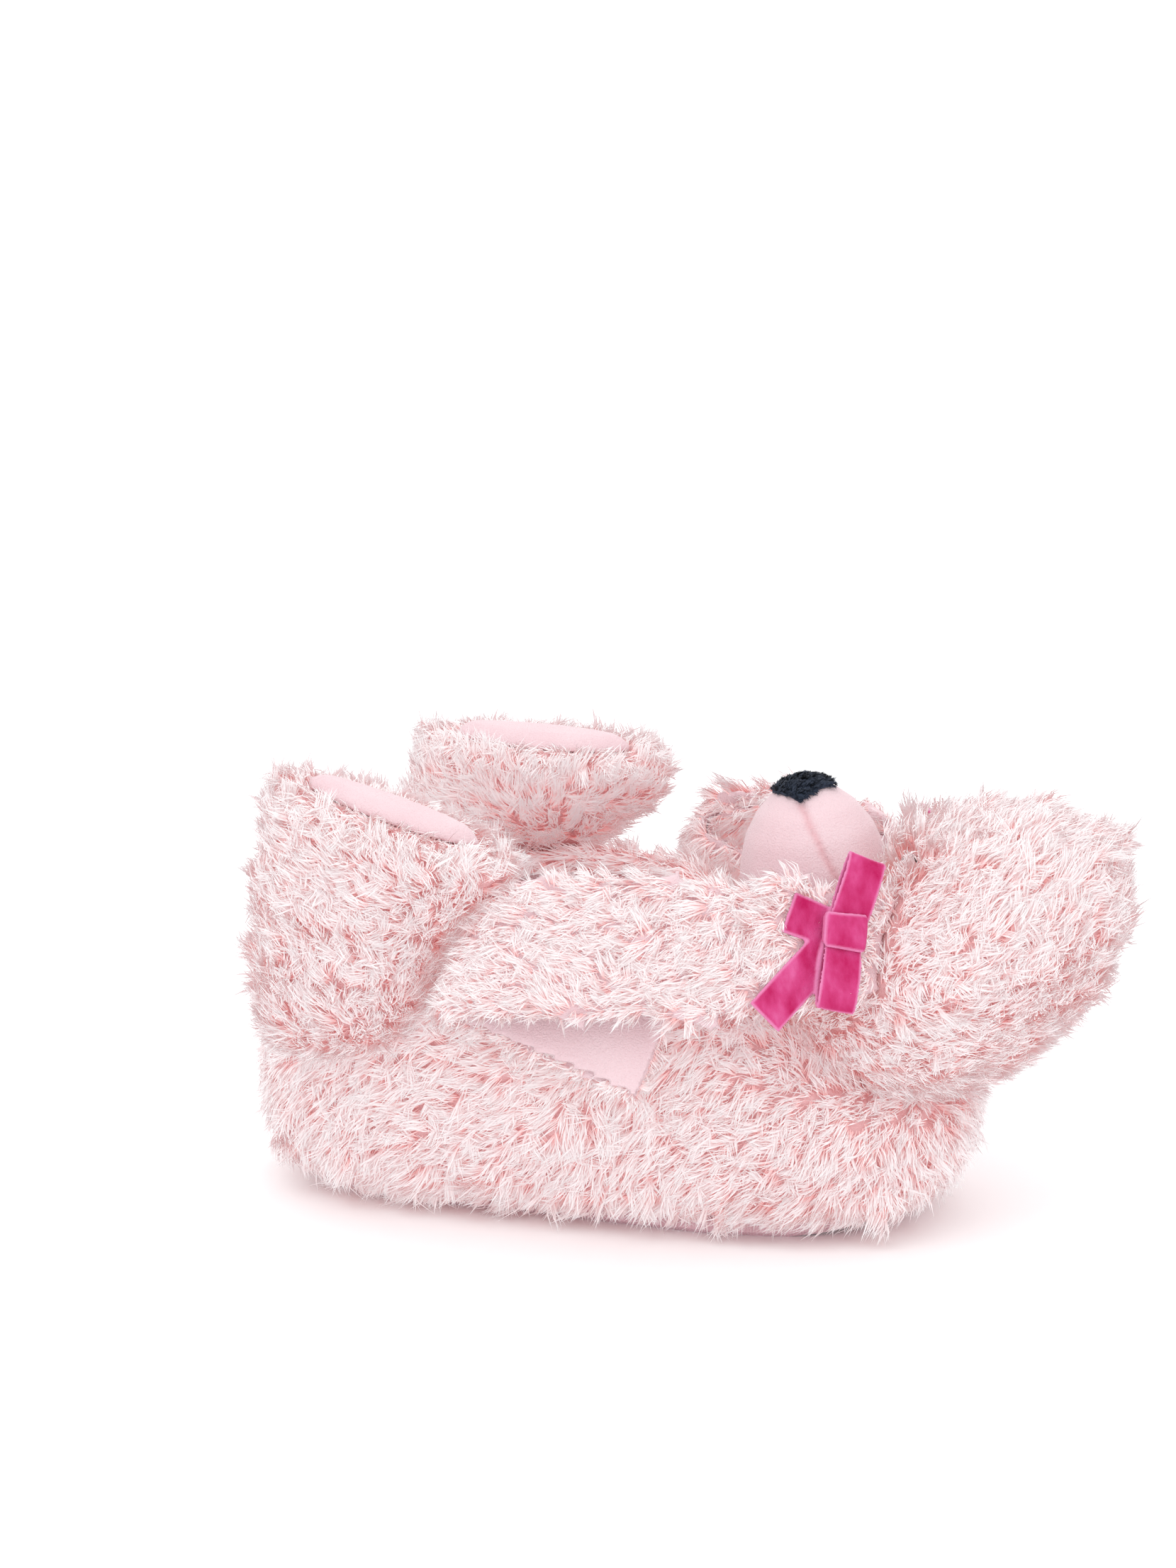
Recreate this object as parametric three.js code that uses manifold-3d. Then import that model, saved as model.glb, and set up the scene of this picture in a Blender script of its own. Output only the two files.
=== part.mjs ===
// A plush animal slipper that fits either foot. A long-eared animal lies on its back on a padded bootie:
// its head rests on the toe, its hind legs stand up on both sides of the collar, and its ears, tied with
// ribbon bows, lie back along the sides. Millimetres, +Z up, toe towards +X, floor at Z 0.

import * as THREE from 'three';
import { mergeVertices } from 'three/addons/utils/BufferGeometryUtils.js';
import Module from 'manifold-3d';

const wasm = await Module();
wasm.setup();

// Bootie, measured to the skin of the fabric and without its pile
const bootieLength = 280; // heel to toe
const ballWidth = 130; // across the ball of the foot
const crownHeight = 146; // floor to the crown of the shaft, before the collar is cut
const bootieLift = 3; // floor to the underside of the upper
const wallThickness = 13; // plush, foam and lining together
const toeSpring = 9; // rise of the toe above the floor
const collarLength = 156;
const collarWidth = 84;
const collarSetback = 25; // heel to the back edge of the collar
const collarRoll = 7; // how far the rounded rim of the collar flares

// Sole and insole
const soleLength = 240;
const soleWidth = 94; // across the ball
const soleThickness = 9;
const soleChamfer = 2;
const insoleThickness = 5;
const insoleMargin = 5; // the insole stops this far inside the edge of the sole

// Head, muzzle and face
const headLength = 146; // neck to crown
const headDepth = 94; // face to nape
const headWidth = 124;
const headTilt = 37; // degrees that the crown is raised above the neck
const headSetback = 6; // toe back to the middle of the head
const headLift = 49; // top of the toe to the middle of the head
const muzzleLength = 76;
const muzzleWidth = 61;
const muzzleLean = 8; // degrees that the muzzle leans back towards the heel
const noseLength = 24;
const noseWidth = 30;
const noseThickness = 1.2;
const eyeRadius = 4;
const eyeSpacing = 42;
const eyeDepth = 1.5; // how far an eye's middle lies under the skin of the head

// Hind legs
const footLength = 98; // heel to toe of the animal's foot
const legWidth = 52;
const legSeatHeight = 74; // floor to the underside of a leg
const legInset = 5; // a leg's axis lies this far inside the side of the bootie
const padThickness = 2.5;
const padBorder = 9; // plush left round the foot pad
const padOffset = 2; // how far the near pad is shifted towards the toes of its foot

// Ears
const earWidth = 54;
const earThickness = 4.5; // shaggy plush without its pile
const liningThickness = 2.5;
const earTurn = 4; // half the space between the two layers of a turned-under ear
const earHeight = 124; // floor to the middle of an ear
const earStandoff = 1; // side of the bootie to the middle line of a turned-under ear
const earLean = 25; // degrees that an ear leans in over the bootie
const earRootSetback = 15; // middle of the head back to the root of an ear
const earRootDepth = 28; // how far an ear's root lies inside its outer layer

// Ribbon bows
const ribbonWidth = 16;
const ribbonThickness = 1.4;
const loopLength = 24;
const loopDepth = 8;
const knotLength = 14.5;
const knotRim = 1.3; // how far the knot stands out past the ribbon's edges
const tailLength = 46;

// Pile and clearance
const pile = 5; // height of a lock of pile above the skin
const lockReach = 24;
const lockWidth = 19;
const lockRoot = 2.5; // how deep a lock is rooted
const clearance = 0.3;
const thinnest = 1; // least height of a section at the ends of the bootie

const toRadians = THREE.MathUtils.degToRad;
const heelX = -bootieLength / 2;
const toeX = bootieLength / 2;
const sideY = ballWidth / 2;
const sideAxis = new THREE.Vector3(0, 1, 0);

// Solids and geometry

function solidOf(geometry) {
  const bare = geometry.clone();
  for (const name of Object.keys(bare.attributes)) {
    if (name !== 'position') bare.deleteAttribute(name);
  }
  const merged = mergeVertices(bare, 1e-4);
  const vertProperties = merged.attributes.position.array;
  const triVerts = new Uint32Array(merged.index.array);
  return new wasm.Manifold(new wasm.Mesh({ numProp: 3, vertProperties, triVerts }));
}

function geometryOf(solid) {
  const { vertProperties, triVerts } = solid.getMesh();
  const geometry = new THREE.BufferGeometry();
  geometry.setAttribute('position', new THREE.BufferAttribute(new Float32Array(vertProperties), 3));
  geometry.setIndex(new THREE.BufferAttribute(new Uint32Array(triVerts), 1));
  return geometry;
}

// A solid from points and triangles, turned the right way out
function solidOfFaces(points, faces) {
  const geometry = new THREE.BufferGeometry().setFromPoints(points);
  geometry.setIndex(faces);
  const solid = solidOf(geometry);
  if (solid.volume() > 0) return solid;
  geometry.setIndex(faces.reverse());
  return solidOf(geometry);
}

// A closed skin through rings of points, with a fan over each end
function loft(rings) {
  const around = rings[0].length;
  const points = rings.flat();
  const faces = [];
  for (let row = 0; row + 1 < rings.length; row += 1) {
    for (let i = 0; i < around; i += 1) {
      const a = row * around + i;
      const b = row * around + ((i + 1) % around);
      faces.push(a, b, b + around, a, b + around, a + around);
    }
  }
  for (const last of [false, true]) {
    const ring = last ? rings.at(-1) : rings[0];
    const first = last ? (rings.length - 1) * around : 0;
    const middle = points.length;
    points.push(ring.reduce((sum, p) => sum.add(p), new THREE.Vector3()).divideScalar(around));
    for (let i = 0; i < around; i += 1) {
      const a = first + i;
      const b = first + ((i + 1) % around);
      faces.push(middle, ...(last ? [a, b] : [b, a]));
    }
  }
  return solidOfFaces(points, faces);
}

// A band through rings of points, the last of which joins the first
function closedLoft(rings) {
  const around = rings[0].length;
  const faces = [];
  for (let row = 0; row < rings.length; row += 1) {
    const next = ((row + 1) % rings.length) * around;
    for (let i = 0; i < around; i += 1) {
      const j = (i + 1) % around;
      faces.push(row * around + i, row * around + j, next + j, row * around + i, next + j, next + i);
    }
  }
  return solidOfFaces(rings.flat(), faces);
}

// The shares of a table at any place along it, as a smooth curve
function curveOf(table, columns) {
  const places = table.map((row) => row.along);
  const values = table.flatMap((row) => columns.map((name) => row[name]));
  const curve = new THREE.CubicInterpolant(places, values, columns.length);
  return (along) => {
    const found = curve.evaluate(THREE.MathUtils.clamp(along, 0, 1));
    return Object.fromEntries(columns.map((name, i) => [name, found[i]]));
  };
}

const union = (...solids) => wasm.Manifold.union(solids.flat());
const cutBy = (solid, ...cutters) => cutters.reduce((left, cutter) => left.subtract(cutter), solid);
const power = (value, exponent) => Math.sign(value) * Math.abs(value) ** exponent;
const even = (count) => Array.from({ length: count + 1 }, (_, i) => i / count);

// A form gives a point of its skin from two shares, along and turn, and grows by so many millimetres
function solidOfForm({ form, alongs, around }, grow = 0) {
  const ring = (along) => Array.from({ length: around }, (_, i) => form(along, i / around, grow));
  return loft(alongs.map(ring));
}

// Bootie: width is a share of the ball width, top and base of the crown height, spring of the toe spring
const bootieTable = [
  { along: 0.0, width: 0.34, top: 0.6, base: 0.17, spring: 0.0 },
  { along: 0.02, width: 0.53, top: 0.73, base: 0.11, spring: 0.0 },
  { along: 0.06, width: 0.7, top: 0.83, base: 0.05, spring: 0.0 },
  { along: 0.14, width: 0.84, top: 0.92, base: 0.01, spring: 0.0 },
  { along: 0.28, width: 0.95, top: 0.98, base: 0.0, spring: 0.0 },
  { along: 0.42, width: 1.0, top: 1.0, base: 0.0, spring: 0.0 },
  { along: 0.54, width: 1.0, top: 0.95, base: 0.0, spring: 0.0 },
  { along: 0.64, width: 0.99, top: 0.82, base: 0.0, spring: 0.0 },
  { along: 0.74, width: 0.94, top: 0.66, base: 0.0, spring: 0.05 },
  { along: 0.84, width: 0.85, top: 0.53, base: 0.0, spring: 0.25 },
  { along: 0.92, width: 0.72, top: 0.46, base: 0.02, spring: 0.6 },
  { along: 0.97, width: 0.56, top: 0.41, base: 0.06, spring: 0.85 },
  { along: 1.0, width: 0.36, top: 0.34, base: 0.12, spring: 1.0 },
];
const bootieShares = curveOf(bootieTable, ['width', 'top', 'base', 'spring']);
const shoulderRoundness = 0.8; // exponents of the section: 1 is an ellipse and 0 a box
const hemRoundness = 0.58;

const bootie = {
  form: (along, turn, grow) => {
    const { width, top, base, spring } = bootieShares(along);
    const angle = 2 * Math.PI * turn;
    const low = bootieLift + base * crownHeight + spring * toeSpring - grow;
    const high = Math.max(top * crownHeight + grow, low + thinnest);
    const roundness = Math.sin(angle) > 0 ? shoulderRoundness : hemRoundness;
    return new THREE.Vector3(
      heelX - grow + along * (bootieLength + 2 * grow),
      ((width * ballWidth) / 2 + grow) * power(Math.cos(angle), roundness),
      (low + high) / 2 + ((high - low) / 2) * power(Math.sin(angle), roundness),
    );
  },
  alongs: [0, 0.02, 0.06, 0.13, 0.21, 0.3, 0.39, 0.48, 0.56, 0.64, 0.72, 0.8, 0.87, 0.93, 0.97, 1],
  around: 28,
};

// The collar is cut by a plug whose rings are rounded rectangles that widen above the rim. Height is a
// share of the crown height and flare of the collar roll
const collarLevels = [
  { height: 0.25, flare: -0.4 },
  { height: 0.72, flare: 0 },
  { height: 0.86, flare: 0.35 },
  { height: 0.95, flare: 1 },
  { height: 1.2, flare: 2.6 },
];
const collarRoundness = 0.75;
const collarSteps = 24;

function collarPlug() {
  const middleX = heelX + collarSetback + collarLength / 2;
  const rings = collarLevels.map(({ height, flare }) =>
    Array.from({ length: collarSteps }, (_, i) => {
      const angle = (2 * Math.PI * i) / collarSteps;
      return new THREE.Vector3(
        middleX + (collarLength / 2 + flare * collarRoll) * power(Math.cos(angle), collarRoundness),
        (collarWidth / 2 + flare * collarRoll) * power(Math.sin(angle), collarRoundness),
        height * crownHeight,
      );
    }),
  );
  return loft(rings);
}

// Sole: width is a share of the sole width and spring of the toe spring
const soleTable = [
  { along: 0.0, width: 0.3, spring: 0.0 },
  { along: 0.03, width: 0.47, spring: 0.0 },
  { along: 0.09, width: 0.62, spring: 0.0 },
  { along: 0.2, width: 0.74, spring: 0.0 },
  { along: 0.38, width: 0.8, spring: 0.0 },
  { along: 0.55, width: 0.93, spring: 0.0 },
  { along: 0.68, width: 1.0, spring: 0.0 },
  { along: 0.82, width: 0.93, spring: 0.0 },
  { along: 0.91, width: 0.77, spring: 0.3 },
  { along: 0.97, width: 0.56, spring: 0.7 },
  { along: 1.0, width: 0.34, spring: 1.0 },
];
const soleShares = curveOf(soleTable, ['width', 'spring']);
const springStart = 0.82; // share of the sole that lies flat
const soleAlongs = [0, 0.03, 0.08, 0.15, 0.25, 0.4, 0.55, 0.7, 0.82, 0.87, 0.91, 0.97, 1];

// A slab on the sole's outline, between two heights above the sprung underside
function slab(margin, bottom, top, chamfer) {
  const rings = soleAlongs.map((along) => {
    const { width, spring } = soleShares(along);
    const x = -soleLength / 2 + margin + along * (soleLength - 2 * margin);
    const half = (width * soleWidth) / 2 - margin;
    const rise = along > springStart ? spring * toeSpring : 0;
    const outline = [
      [-half + chamfer, bottom],
      [half - chamfer, bottom],
      [half, bottom + chamfer],
      [half, top - chamfer],
      [half - chamfer, top],
      [-half + chamfer, top],
      [-half, top - chamfer],
      [-half, bottom + chamfer],
    ];
    return outline.map(([y, z]) => new THREE.Vector3(x, y, z + rise));
  });
  return loft(rings);
}

// Head: an ellipsoid whose long axis runs from the neck up to the crown
const headAxis = new THREE.Vector3(Math.cos(toRadians(headTilt)), 0, Math.sin(toRadians(headTilt)));
const faceAxis = new THREE.Vector3(-headAxis.z, 0, headAxis.x);
const toeTop = bootieTable.at(-2).top * crownHeight;
const headCentre = new THREE.Vector3(toeX - headSetback, 0, toeTop + headLift);
const poleGap = 0.04; // share of the half turn that the fan over each pole takes

const head = {
  form: (along, turn, grow) => {
    const polar = Math.PI * (poleGap + (1 - 2 * poleGap) * along);
    const angle = 2 * Math.PI * turn;
    return headCentre
      .clone()
      .addScaledVector(headAxis, -(headLength / 2 + grow) * Math.cos(polar))
      .addScaledVector(faceAxis, (headDepth / 2 + grow) * Math.sin(polar) * Math.sin(angle))
      .addScaledVector(sideAxis, (headWidth / 2 + grow) * Math.sin(polar) * Math.cos(angle));
  },
  alongs: even(10),
  around: 18,
};

// Muzzle: an egg on the face side of the head, whose upper end holds the nose
const muzzleAxis = new THREE.Vector3(-Math.sin(toRadians(muzzleLean)), 0, Math.cos(toRadians(muzzleLean)));
const muzzleAcross = new THREE.Vector3(muzzleAxis.z, 0, -muzzleAxis.x);
const muzzlePlace = { along: -0.18, out: 0.612 }; // shares of the head's length and depth
const muzzleCentre = headCentre
  .clone()
  .addScaledVector(headAxis, muzzlePlace.along * headLength)
  .addScaledVector(faceAxis, muzzlePlace.out * headDepth);
const muzzleTaper = 0.08; // how much the nose end is narrower, and the root wider, than the middle

const muzzle = {
  form: (along, turn, grow) => {
    const polar = Math.PI * (poleGap + (1 - 2 * poleGap) * along);
    const angle = 2 * Math.PI * turn;
    const reach = -Math.cos(polar);
    const half = ((muzzleWidth / 2) * (1 - muzzleTaper * reach) + grow) * Math.sin(polar);
    return muzzleCentre
      .clone()
      .addScaledVector(muzzleAxis, (muzzleLength / 2 + grow) * reach)
      .addScaledVector(muzzleAcross, half * Math.sin(angle))
      .addScaledVector(sideAxis, half * Math.cos(angle));
  },
  alongs: even(9),
  around: 16,
};

// Nose: a skin over the end of the muzzle. Half of its outline, in shares of its length and width
const noseOutline = [
  { along: -0.5, side: 0.14 },
  { along: -0.25, side: 0.34 },
  { along: 0.05, side: 0.5 },
  { along: 0.28, side: 0.3 },
  { along: 0.5, side: 0.06 },
];

function nosePatch() {
  const outer = solidOfForm(muzzle, clearance + noseThickness);
  const inner = solidOfForm(muzzle, clearance);
  const half = (side) =>
    noseOutline.map((p) => new THREE.Vector2(p.along * noseLength, side * p.side * noseWidth));
  const shape = new THREE.Shape([...half(-1), ...half(1).reverse()]);
  const prism = new THREE.ExtrudeGeometry(shape, { depth: muzzleLength, bevelEnabled: false });
  prism.rotateY(-toRadians(muzzleLean));
  prism.translate(muzzleCentre.x, 0, muzzleCentre.z);
  return outer.subtract(inner).intersect(solidOf(prism));
}

// Eyes: beads sunk in the face side of the head, between the muzzle and the crown
const eyePlace = 0.1; // share of the head's length from its middle towards the crown

function eyeBead(side, headGrown) {
  const bead = new THREE.SphereGeometry(eyeRadius, 8, 6);
  const out = (headDepth / 2) * Math.sqrt(1 - (eyeSpacing / headWidth) ** 2) - eyeDepth;
  const place = headCentre
    .clone()
    .addScaledVector(headAxis, eyePlace * headLength)
    .addScaledVector(sideAxis, (side * eyeSpacing) / 2)
    .addScaledVector(faceAxis, out);
  bead.translate(place.x, place.y, place.z);
  return solidOf(bead).subtract(headGrown);
}

// Legs: length, and how far the heel side is drawn in, are shares of the foot length, width of the leg width
const legTable = [
  { along: 0.0, length: 0.2, width: 0.3, heel: 0.12 },
  { along: 0.03, length: 0.38, width: 0.52, heel: 0.06 },
  { along: 0.08, length: 0.52, width: 0.74, heel: 0.02 },
  { along: 0.18, length: 0.63, width: 0.88, heel: 0.0 },
  { along: 0.4, length: 0.69, width: 0.95, heel: 0.0 },
  { along: 0.6, length: 0.79, width: 0.98, heel: 0.0 },
  { along: 0.8, length: 0.96, width: 1.0, heel: 0.0 },
  { along: 0.92, length: 1.03, width: 0.97, heel: 0.0 },
  { along: 1.0, length: 0.93, width: 0.82, heel: 0.02 },
];
const legShares = curveOf(legTable, ['length', 'width', 'heel']);

// Setback from the bootie's heel and lean forwards are shares of the foot length, and rise of the crown
// height. Tilt is how many degrees the toes of the foot drop, and turns the outer side, which has long pile
const legs = {
  right: {
    side: -1, setback: 0.08, lean: 0.04, rise: 0.66, tilt: 17, padShift: 1, turns: [0.45, 1.05],
  },
  left: {
    side: 1, setback: 0.3, lean: 0.18, rise: 0.64, tilt: 2, padShift: 0, turns: [-0.05, 0.55],
  },
};

// The place and the radii of a leg's section
function legSection(leg, along, grow) {
  const { length, width, heel } = legShares(along);
  const reach = (length * footLength) / 2;
  const tilt = toRadians(leg.tilt) * along ** 2;
  const centre = new THREE.Vector3(
    heelX + (leg.setback + heel + leg.lean * along) * footLength + reach,
    leg.side * (sideY - legInset),
    legSeatHeight + leg.rise * crownHeight * along + (2 * along - 1) * grow,
  );
  return {
    centre,
    radiusX: reach + grow,
    radiusY: (width * legWidth) / 2 + grow,
    forward: new THREE.Vector3(Math.cos(tilt), 0, -Math.sin(tilt)),
    up: new THREE.Vector3(Math.sin(tilt), 0, Math.cos(tilt)),
  };
}

function legOf(leg) {
  const form = (along, turn, grow) => {
    const { centre, radiusX, radiusY, forward } = legSection(leg, along, grow);
    const angle = 2 * Math.PI * turn;
    return centre
      .clone()
      .addScaledVector(forward, radiusX * Math.cos(angle))
      .addScaledVector(sideAxis, radiusY * Math.sin(angle));
  };
  return { form, alongs: [0, 0.03, 0.08, 0.18, 0.4, 0.62, 0.8, 0.93, 1], around: 16 };
}

// A foot's sole is a low cushion of short plush on the flat end of the leg. Height is a share of the pad's
// thickness and border of the plush left round it
const padLayers = [
  { height: 0, border: 1.05 },
  { height: 0.6, border: 1 },
  { height: 1, border: 1.2 },
  { height: 1.7, border: 1.7 },
];
const padSteps = 16;

function footPad(leg) {
  const { centre, radiusX, radiusY, forward, up } = legSection(leg, 1, 0);
  const middle = centre.clone().addScaledVector(forward, leg.padShift * padOffset);
  const rings = padLayers.map(({ height, border }) =>
    Array.from({ length: padSteps }, (_, i) => {
      const angle = (2 * Math.PI * i) / padSteps;
      return middle
        .clone()
        .addScaledVector(up, clearance + height * padThickness)
        .addScaledVector(forward, (radiusX - padBorder * border) * Math.cos(angle))
        .addScaledVector(sideAxis, (radiusY - padBorder * border) * Math.sin(angle));
    }),
  );
  return loft(rings);
}

// Ears: a flap that runs back from the head, turns under and comes forward again. Fall and width are
// shares of the ear width, and skew is how far the flap's cross section slopes along it
const earTable = [
  { along: 0.0, fall: -0.2, width: 0.72, skew: 0.0 },
  { along: 0.12, fall: -0.12, width: 0.84, skew: 0.0 },
  { along: 0.3, fall: 0.0, width: 0.98, skew: 0.0 },
  { along: 0.5, fall: 0.03, width: 1.04, skew: 0.1 },
  { along: 0.63, fall: 0.1, width: 0.98, skew: 0.25 },
  { along: 0.72, fall: 0.2, width: 0.94, skew: 0.32 },
  { along: 0.86, fall: 0.42, width: 0.93, skew: 0.32 },
  { along: 1.0, fall: 0.66, width: 0.9, skew: 0.3 },
];
const earShares = curveOf(earTable, ['fall', 'width', 'skew']);

// Front is the way back from the root to the fold, back the way forward again, and setback the bow's way
// from the root, all as shares of the bootie's length. Raise is how much of the root's fall is kept
const ears = {
  right: { side: -1, front: 0.565, back: 0.25, raise: 1, setback: 0.1 },
  left: { side: 1, front: 0.343, back: 0.165, raise: 0.2, setback: 0.054 },
};
const bowRise = 0.09; // share of the ear width that a bow's knot lies above the ear's middle line
const earRootX = headCentre.x - earRootSetback;
const earUp = new THREE.Vector2(-Math.sin(toRadians(earLean)), Math.cos(toRadians(earLean)));
const earOut = new THREE.Vector2(earUp.y, -earUp.x);

// The route of the lining's inner face seen from above the ear: X, and the distance out from the middle
function earRoute(ear) {
  const foldX = earRootX - ear.front * bootieLength;
  const route = new THREE.Path();
  route.moveTo(earRootX, earTurn - earRootDepth);
  route.quadraticCurveTo(earRootX - 1.1 * earRootDepth, earTurn, earRootX - 2.6 * earRootDepth, earTurn);
  route.lineTo(foldX, earTurn);
  route.absarc(foldX, 0, earTurn, Math.PI / 2, (3 * Math.PI) / 2, false);
  route.lineTo(foldX + ear.back * bootieLength, -earTurn);
  return route;
}

// The places where the route's pieces are cut into sections, as shares of its length
function sectionsOf(route, counts) {
  const lengths = [0, ...route.getCurveLengths()];
  const places = route.curves.flatMap((_, piece) =>
    Array.from(
      { length: counts[piece] },
      (_, i) => lengths[piece] + ((lengths[piece + 1] - lengths[piece]) * i) / counts[piece],
    ),
  );
  return [...places, lengths.at(-1)].map((length) => length / lengths.at(-1));
}

// A point of an ear's own space, given along X, out from the bootie and up along the ear
function earPoint(ear, x, out, up) {
  return new THREE.Vector3(
    x,
    ear.side * (sideY + earStandoff + out * earOut.x + up * earUp.x),
    earHeight + out * earOut.y + up * earUp.y,
  );
}

// One layer of an ear, between two depths counted outwards from the lining's inner face
function earLayer(ear, inner, outer, border, counts, around) {
  const route = earRoute(ear);
  const form = (along, turn, grow) => {
    const here = route.getPointAt(along);
    const ahead = route.getTangentAt(along);
    const { fall, width, skew } = earShares(along);
    const angle = 2 * Math.PI * turn;
    const depth = (inner + outer) / 2 + ((outer - inner) / 2 + grow) * power(Math.sin(angle), 0.6);
    const height = ((width * earWidth) / 2 - border + grow) * power(Math.cos(angle), 0.8);
    const raised = fall < 0 ? ear.raise : 1;
    const end = along < 0.5 ? -grow : grow;
    const stretch = along === 0 || along === 1 ? end : 0;
    return earPoint(
      ear,
      here.x + ahead.y * depth + skew * height + ahead.x * stretch,
      here.y - ahead.x * depth,
      height - fall * raised * earWidth,
    );
  };
  return { form, alongs: sectionsOf(route, counts), around };
}

const earCounts = [4, 3, 6, 3];
const liningBorder = 2; // the lining stops this far inside the edge of the plush
const liningOf = (ear) => earLayer(ear, 0, liningThickness, liningBorder, earCounts, 10);
const shagOf = (ear) => {
  const start = liningThickness + clearance;
  return earLayer(ear, start, start + earThickness, 0, earCounts, 12);
};

// Ribbon bows, drawn with X up along the ear, Y outwards and Z towards the toe, and the knot's middle at
// the origin. A loop's tilt and a tail's angle are degrees from straight up towards the toe and the heel
const bowLoops = [
  { direction: 1, tilt: 13 },
  { direction: -1, tilt: 2 },
];
const bowTails = [
  { angle: 142, share: 1 },
  { angle: 76, share: 0.5 },
];
const loopSteps = 14;
const loopNeck = 0.35; // share of its depth that a loop has at the knot

// A loop is a band bent to a teardrop. Grown, it is the filled teardrop
function loopOutline(inset) {
  const length = loopLength + knotLength / 2 - 2 * inset;
  const depth = loopDepth / 2 - inset;
  return Array.from({ length: loopSteps }, (_, i) => {
    const angle = (2 * Math.PI * i) / loopSteps;
    const share = (1 - Math.cos(angle)) / 2;
    const swell = loopNeck + (1 - loopNeck) * share;
    return new THREE.Vector2(inset + length * share, depth * Math.sin(angle) * swell);
  });
}

function loopRings({ direction, tilt }, grow) {
  const half = ribbonWidth / 2 + grow;
  const turned = new THREE.Matrix4().makeRotationY(-toRadians(tilt));
  const at = (p, z) => new THREE.Vector3(direction * p.x, p.y, z).applyMatrix4(turned);
  const outer = loopOutline(-grow);
  if (grow > 0) return [outer.map((p) => at(p, -half)), outer.map((p) => at(p, half))];
  const inner = loopOutline(ribbonThickness);
  return outer.map((p, i) => [at(p, -half), at(p, half), at(inner[i], half), at(inner[i], -half)]);
}

// A tail is a flat strip that leaves the knot at an angle
function tailRings({ angle, share: part }, grow) {
  const half = ribbonWidth / 2 + grow;
  const thick = ribbonThickness / 2 + grow;
  const middle = (ribbonThickness - loopDepth) / 2;
  const turned = new THREE.Matrix4().makeRotationY(toRadians(angle));
  return even(2).map((share) => {
    const x = (part * tailLength + grow) * share;
    const corners = [[-thick, -half], [thick, -half], [thick, half], [-thick, half]];
    return corners.map(([y, z]) => new THREE.Vector3(x, middle + y, z).applyMatrix4(turned));
  });
}

// Moves a bow's rings to its place on the ear
function placeOnEar(rings, ear) {
  const route = earRoute(ear);
  const along = (ear.setback * bootieLength) / route.getLength();
  const here = route.getPointAt(along);
  const ahead = route.getTangentAt(along);
  const skin = liningThickness + 2 * clearance + earThickness;
  const rise = (bowRise - earShares(along).fall * ear.raise) * earWidth;
  return rings.map((ring) =>
    ring.map(({ x: up, y, z: toe }) => {
      const depth = skin + loopDepth / 2 + y;
      const x = here.x + ahead.y * depth - ahead.x * toe;
      const out = here.y - ahead.x * depth - ahead.y * toe;
      return earPoint(ear, x, out, up + rise);
    }),
  );
}

function bowSolid(ear, grow = 0) {
  const skin = grow > 0 ? loft : closedLoft;
  const loops = bowLoops.map((loop) => skin(placeOnEar(loopRings(loop, grow), ear)));
  const tails = bowTails.map((tail) => loft(placeOnEar(tailRings(tail, grow), ear)));
  return union(loops, tails);
}

// The knot is a band round the necks of the loops, in front of the tails. Reach is a share of half its
// length, and size of its section
const knotSections = [
  { reach: -1, size: 0.9 },
  { reach: -0.7, size: 1 },
  { reach: 0.7, size: 1 },
  { reach: 1, size: 0.9 },
];
const knotSteps = 9;

function knotBlock(ear, grow = 0) {
  const half = ribbonWidth / 2 + knotRim + grow;
  const front = loopDepth / 2 + grow;
  const back = ribbonThickness + 2 * clearance - loopDepth / 2 - grow;
  const rings = knotSections.map(({ reach, size }) =>
    Array.from({ length: knotSteps }, (_, i) => {
      const angle = (2 * Math.PI * i) / knotSteps;
      const y = (front + back) / 2 + ((front - back) / 2) * size * power(Math.sin(angle), 0.6);
      const z = half * size * power(Math.cos(angle), 0.5);
      return new THREE.Vector3(reach * (knotLength / 2 + grow), y, z);
    }),
  );
  return loft(placeOnEar(rings, ear));
}

// Pile: leaf-shaped locks rooted under the skin, which lean along the nap. A lock has two heels, a ridge
// and a keel, whose places ahead are shares of its reach, and it ends in its tip
const lockShape = { heel: -0.1, ridge: 0.3, ridgeHeight: 0.7, keel: 0.5 };

function lock(root, normal, nap, size) {
  const side = new THREE.Vector3().crossVectors(normal, nap).normalize();
  const at = (ahead, up, across) =>
    root
      .clone()
      .addScaledVector(nap, ahead * lockReach * size)
      .addScaledVector(normal, up)
      .addScaledVector(side, across * lockWidth * size);
  const points = [
    at(lockShape.heel, -lockRoot, -0.5),
    at(lockShape.heel, -lockRoot, 0.5),
    at(lockShape.ridge, lockShape.ridgeHeight * pile, 0),
    at(1, pile * size, 0),
    at(lockShape.keel, -lockRoot, 0),
  ];
  return solidOfFaces(points, [0, 2, 3, 2, 1, 3, 0, 1, 2, 0, 3, 4, 3, 1, 4, 0, 4, 1]);
}

// A repeatable scatter from -0.5 to 0.5
function scatter(seed) {
  const wave = Math.sin(seed * 12.9898) * 43758.5453;
  return wave - Math.floor(wave) - 0.5;
}

// How far a lock is scattered, as shares of a row and of a column, in its lean and in its size
const strewn = { row: 0.35, column: 0.4, lean: 0.6, size: 0.3 };
const probe = 0.004; // how far apart, in shares, two points of a form are that show its direction

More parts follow.
